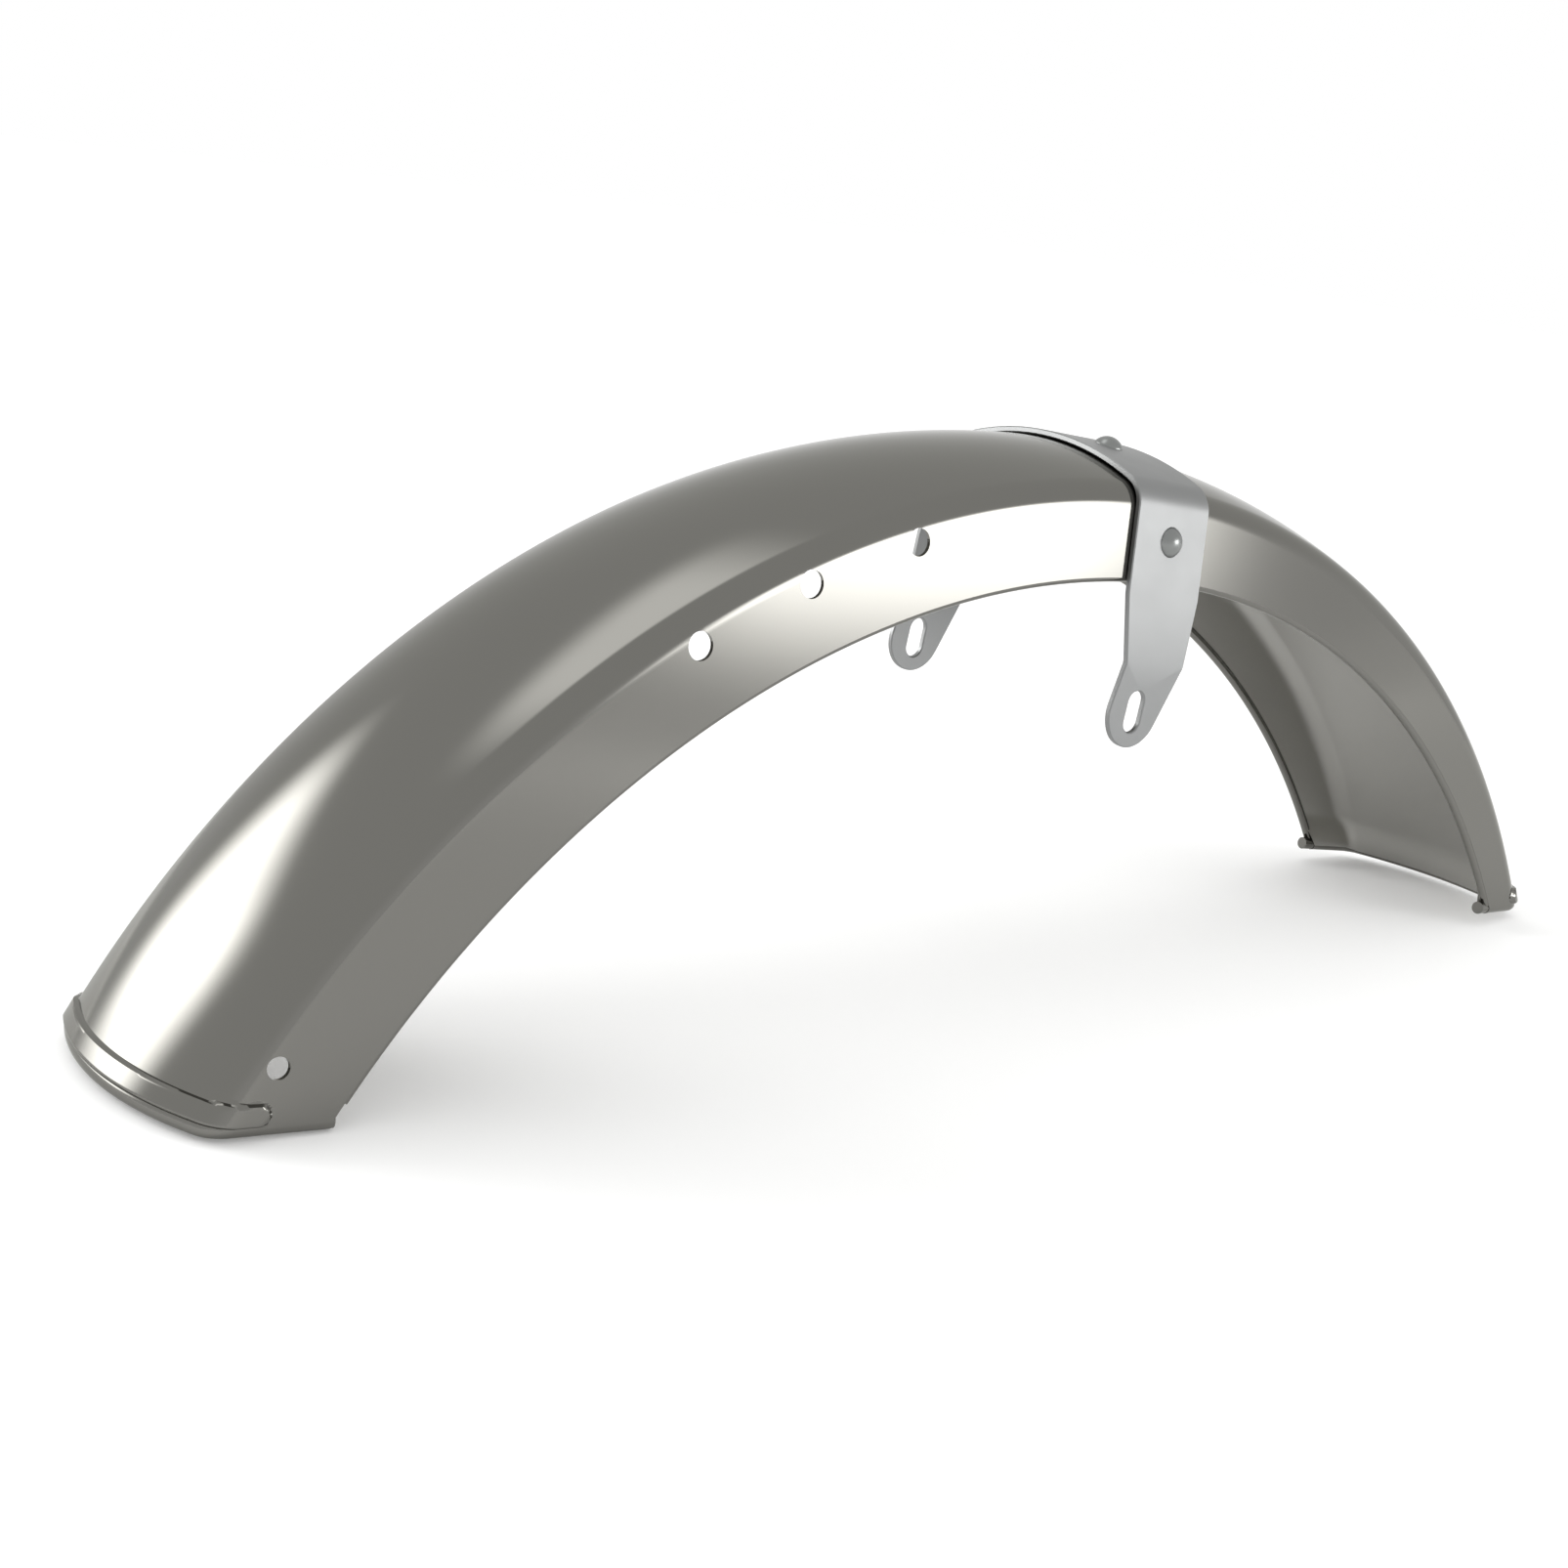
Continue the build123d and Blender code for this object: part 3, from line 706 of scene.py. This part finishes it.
def make_floor():
    mesh = bpy.data.meshes.new("studio_floor")
    corners = [(x * FLOOR_HALF, y * FLOOR_HALF, 0) for x, y in ((-1, -1), (1, -1), (1, 1), (-1, 1))]
    mesh.from_pydata(corners, [], [(0, 1, 2, 3)])
    floor = bpy.data.objects.new("studio_floor", mesh)
    floor.location.z = -FLOOR_DROP
    bpy.context.scene.collection.objects.link(floor)
    material = bpy.data.materials.new("white_paper_floor")
    material.use_nodes = True
    tree = material.node_tree
    tree.nodes.clear()
    paper = add(tree, "ShaderNodeBsdfDiffuse", {}, {"Color": linear("#F6F6F6")})
    # Seen by the camera, in metal or through glass, the paper is lifted to white but keeps its shadows.
    ray = add(tree, "ShaderNodeLightPath").outputs
    seen = ray["Is Camera Ray"]
    for kind in ("Is Glossy Ray", "Is Transmission Ray"):
        seen = add(tree, "ShaderNodeMath", {"operation": "MAXIMUM"}, {0: seen, 1: ray[kind]}).outputs[0]
    place = add(tree, "ShaderNodeTexCoord").outputs["Object"]
    far = add(tree, "ShaderNodeVectorMath", {"operation": "LENGTH"}, {0: place}).outputs["Value"]
    lift = add(tree, "ShaderNodeMapRange", {"interpolation_type": "SMOOTHSTEP"},
               {"Value": far, "From Min": LIFT_FROM, "From Max": LIFT_TO,
                "To Min": LIFT_NEAR, "To Max": LIFT_FAR}).outputs[0]
    lift = add(tree, "ShaderNodeMath", {"operation": "MULTIPLY"}, {0: seen, 1: lift}).outputs[0]
    glow = add(tree, "ShaderNodeEmission", {}, {"Color": (1, 1, 1, 1), "Strength": lift})
    both = add(tree, "ShaderNodeAddShader", {}, {0: paper.outputs[0], 1: glow.outputs[0]})
    add(tree, "ShaderNodeOutputMaterial", {}, {"Surface": both.outputs[0]})
    mesh.materials.append(material)


def make_world():
    """White low down, like a paper sweep, and a shade greyer overhead."""
    world = bpy.data.worlds.new("studio")
    bpy.context.scene.world = world
    world.use_nodes = True
    tree = world.node_tree
    tree.nodes.clear()
    place = add(tree, "ShaderNodeTexCoord").outputs["Generated"]
    height = add(tree, "ShaderNodeSeparateXYZ", {}, {0: place}).outputs["Z"]
    shade = add(tree, "ShaderNodeMapRange", {"interpolation_type": "SMOOTHSTEP"},
                {"Value": height, "From Min": WHITE_UP_TO, "From Max": GREYER_FROM,
                 "To Min": 1.0, "To Max": 0.0}).outputs[0]
    colour = add(tree, "ShaderNodeMix", {"data_type": "RGBA"},
                 {0: shade, 6: linear("#F4F4F3"), 7: (1, 1, 1, 1)}).outputs[2]
    room = add(tree, "ShaderNodeBackground", {}, {"Color": colour, "Strength": 1.0})
    add(tree, "ShaderNodeOutputWorld", {}, {"Surface": room.outputs[0]})


def make_camera():
    """Stands low to the left of the near wall, tipped a little, as the photograph was taken."""
    heading, height, tip = 41.66, 14.57, 7.69
    place = Vector((-0.5877, -0.5657, 0.2663))
    frame_pixels = 1605
    focal_pixels = 2537.3
    middle_x, middle_y = 782.4, 803.4
    camera = bpy.data.cameras.new("camera")
    camera.sensor_width = 36.0
    camera.lens = camera.sensor_width * focal_pixels / frame_pixels
    camera.shift_x = (frame_pixels / 2 - middle_x) / frame_pixels
    camera.shift_y = (middle_y - frame_pixels / 2) / frame_pixels
    camera.clip_start = 0.01
    holder = bpy.data.objects.new("camera", camera)
    stand = Matrix.Translation(place)
    for angle, axis in ((-heading, "Z"), (90 - height, "X"), (tip, "Z")):
        stand = stand @ Matrix.Rotation(math.radians(angle), 4, axis)
    holder.matrix_world = stand
    bpy.context.scene.collection.objects.link(holder)
    bpy.context.scene.camera = holder


def make_lamp(name, place, target, width, height, radiance):
    """A softbox, brightest in the middle and fading out toward the edges of its cloth."""
    lamp = bpy.data.lights.new(name, "AREA")
    lamp.shape = "RECTANGLE"
    lamp.size = width
    lamp.size_y = height
    lamp.energy = radiance * math.pi * width * height
    lamp.use_nodes = True
    tree = lamp.node_tree
    tree.nodes.clear()
    cloth = add(tree, "ShaderNodeNewGeometry").outputs["Parametric"]
    away = add(tree, "ShaderNodeVectorMath", {"operation": "SUBTRACT"},
               {0: cloth, 1: (0.5, 0.5, 0)}).outputs[0]
    away = add(tree, "ShaderNodeVectorMath", {"operation": "ABSOLUTE"}, {0: away}).outputs[0]
    away = add(tree, "ShaderNodeSeparateXYZ", {}, {0: away}).outputs
    fade = [
        add(tree, "ShaderNodeMapRange", {"interpolation_type": "SMOOTHSTEP"},
            {"Value": away[axis], "From Min": 0.5, "From Max": 0.5 - LAMP_FADE}).outputs[0]
        for axis in "XY"]
    glow = add(tree, "ShaderNodeMath", {"operation": "MULTIPLY"}, {0: fade[0], 1: fade[1]}).outputs[0]
    light = add(tree, "ShaderNodeEmission", {}, {"Strength": glow})
    add(tree, "ShaderNodeOutputLight", {}, {"Surface": light.outputs[0]})
    holder = bpy.data.objects.new(name, lamp)
    holder.location = place
    holder.rotation_euler = (Vector(target) - Vector(place)).to_track_quat("-Z", "Y").to_euler()
    bpy.context.scene.collection.objects.link(holder)


make_blade()
make_bracket()
make_rivets()
make_floor()
make_world()
make_camera()
make_lamp("top_softbox", place=(-0.29, 0.41, 1.60), target=(-0.18, -0.036, 0.13),
          width=1.4, height=0.75, radiance=1.5)
make_lamp("side_softbox", place=(1.24, -1.59, 0.45), target=(0, 0, 0.12),
          width=1.5, height=0.75, radiance=7.5)
make_lamp("end_softbox", place=(-1.21, 1.51, 0.66), target=(-0.28, 0, 0.05),
          width=1.75, height=1.36, radiance=7.0)
bpy.context.scene.view_settings.view_transform = "Standard"
